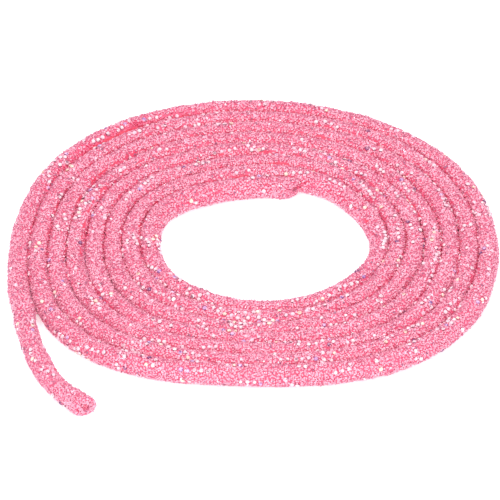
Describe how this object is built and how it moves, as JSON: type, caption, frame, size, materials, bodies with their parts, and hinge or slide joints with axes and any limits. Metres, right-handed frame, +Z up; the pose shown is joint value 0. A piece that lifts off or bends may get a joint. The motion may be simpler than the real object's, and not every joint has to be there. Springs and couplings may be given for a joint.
{
  "type": "rhinestone rope",
  "caption": "Soft round rope covered in pink grit and small stones, lying as a loose flat coil with one free tail, for trimming costumes, hoops and bows.",
  "frame": {"origin": "middle of the bounding box, on the surface that the rope lies on", "axes": "+Z up from that surface; the tail leaves the coil on the -X side and ends at the -Y side"},
  "size_m": [0.1356, 0.1496, 0.0064],
  "materials": {
    "grit_sleeve": "flexible backing covered in fine pink resin and glass grit, sparkling",
    "core": "soft twisted textile cord, matt",
    "seam": "bare salmon backing along the lengthwise seam, satin",
    "grit": "fine resin and glass grains, glossy",
    "stones": "small faceted flat-back stones with foil backs, clear, pink, pale yellow and violet"
  },
  "bodies": {
    "root": {"rope_coil": "grit_sleeve", "tail_sleeve": "grit_sleeve", "tail_core": "core", "inner_end_sleeve": "grit_sleeve", "inner_end_core": "core"}
  },
  "joints": []
}
